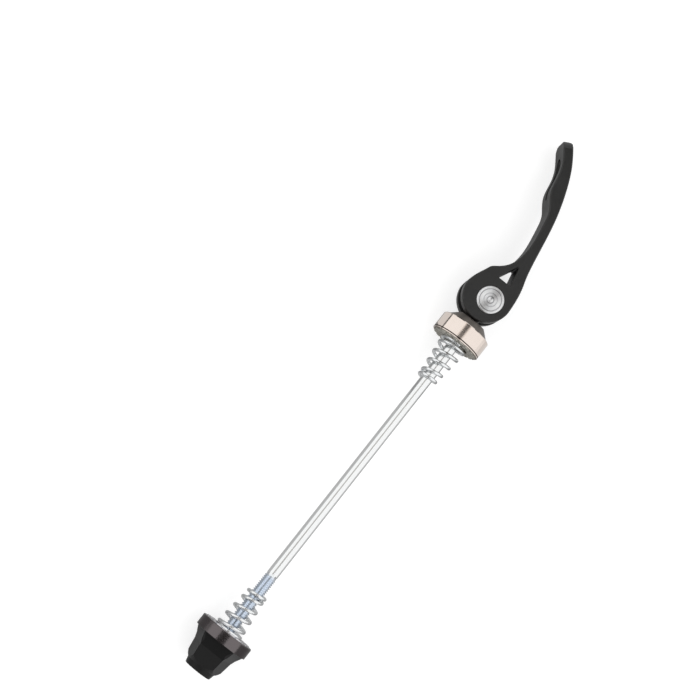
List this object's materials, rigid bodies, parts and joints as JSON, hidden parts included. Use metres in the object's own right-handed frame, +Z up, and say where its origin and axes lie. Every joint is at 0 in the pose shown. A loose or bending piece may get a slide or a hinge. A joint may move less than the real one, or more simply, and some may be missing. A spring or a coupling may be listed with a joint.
{
  "type": "quick release skewer",
  "caption": "Quick release skewer: a threaded steel rod with a cam lever that pulls a serrated collar towards an adjusting nut, and a conical spring at each clamp face.",
  "frame": {"origin": "on the rod's axis, in the plane of the collar's serrated clamp face", "axes": "+X along the rod, from the adjusting nut to the lever; +Z up, as the skewer lies on a table with its concave lever side, +Y, rolled down until the lever's tip rests"},
  "size_m": [0.2311, 0.0254, 0.0208],
  "materials": {
    "zinc_steel": "zinc plated, bright",
    "turned_steel": "turned, bright",
    "black_lever": "satin black anodised",
    "saddle_plastic": "satin, warm black",
    "plated_cup": "nickel plated, polished",
    "serrated_steel": "dull grey",
    "spring_steel": "zinc plated wire",
    "black_nut": "satin black anodised",
    "nylon": "natural nylon"
  },
  "bodies": {
    "rod": {"skewer_rod": "zinc_steel", "pivot_barrel": "turned_steel"},
    "lever": {"lever": "black_lever"},
    "saddle": {"cam_saddle": "saddle_plastic"},
    "collar": {"collar_cup": "plated_cup", "collar_serrated_washer": "serrated_steel", "lever_spring": "spring_steel"},
    "nut_carriage": {"nut_spring": "spring_steel"},
    "nut": {"nut_body": "black_nut", "nut_serrated_insert": "serrated_steel", "nut_lock_ring": "nylon"}
  },
  "joints": [
    {"name": "lever_swing", "type": "hinge", "parent": "rod", "child": "lever", "pos_m": [0.01951, 0, 0], "axis": [0, 0.221, 0.9753], "range_deg": [-90, 90]},
    {"name": "saddle_slide", "type": "slide", "parent": "rod", "child": "saddle", "axis": [1, 0, 0], "range_m": [-0.0014, 0.0014]},
    {"name": "collar_turn", "type": "hinge", "parent": "saddle", "child": "collar", "pos_m": [0, 0, 0], "axis": [1, 0, 0], "continuous": true},
    {"name": "nut_travel", "type": "slide", "parent": "rod", "child": "nut_carriage", "axis": [1, 0, 0], "range_m": [-0.01281, 0.02401]},
    {"name": "nut_turn", "type": "hinge", "parent": "nut_carriage", "child": "nut", "pos_m": [-0.12905, 0, 0], "axis": [1, 0, 0], "range_deg": [-5760, 10800]}
  ],
  "couplings": [
    {"joint": "saddle_slide", "follows": "lever_swing", "m_per_rad": -0.00086},
    {"joint": "nut_travel", "follows": "nut_turn", "m_per_rad": 0.00012732}
  ]
}
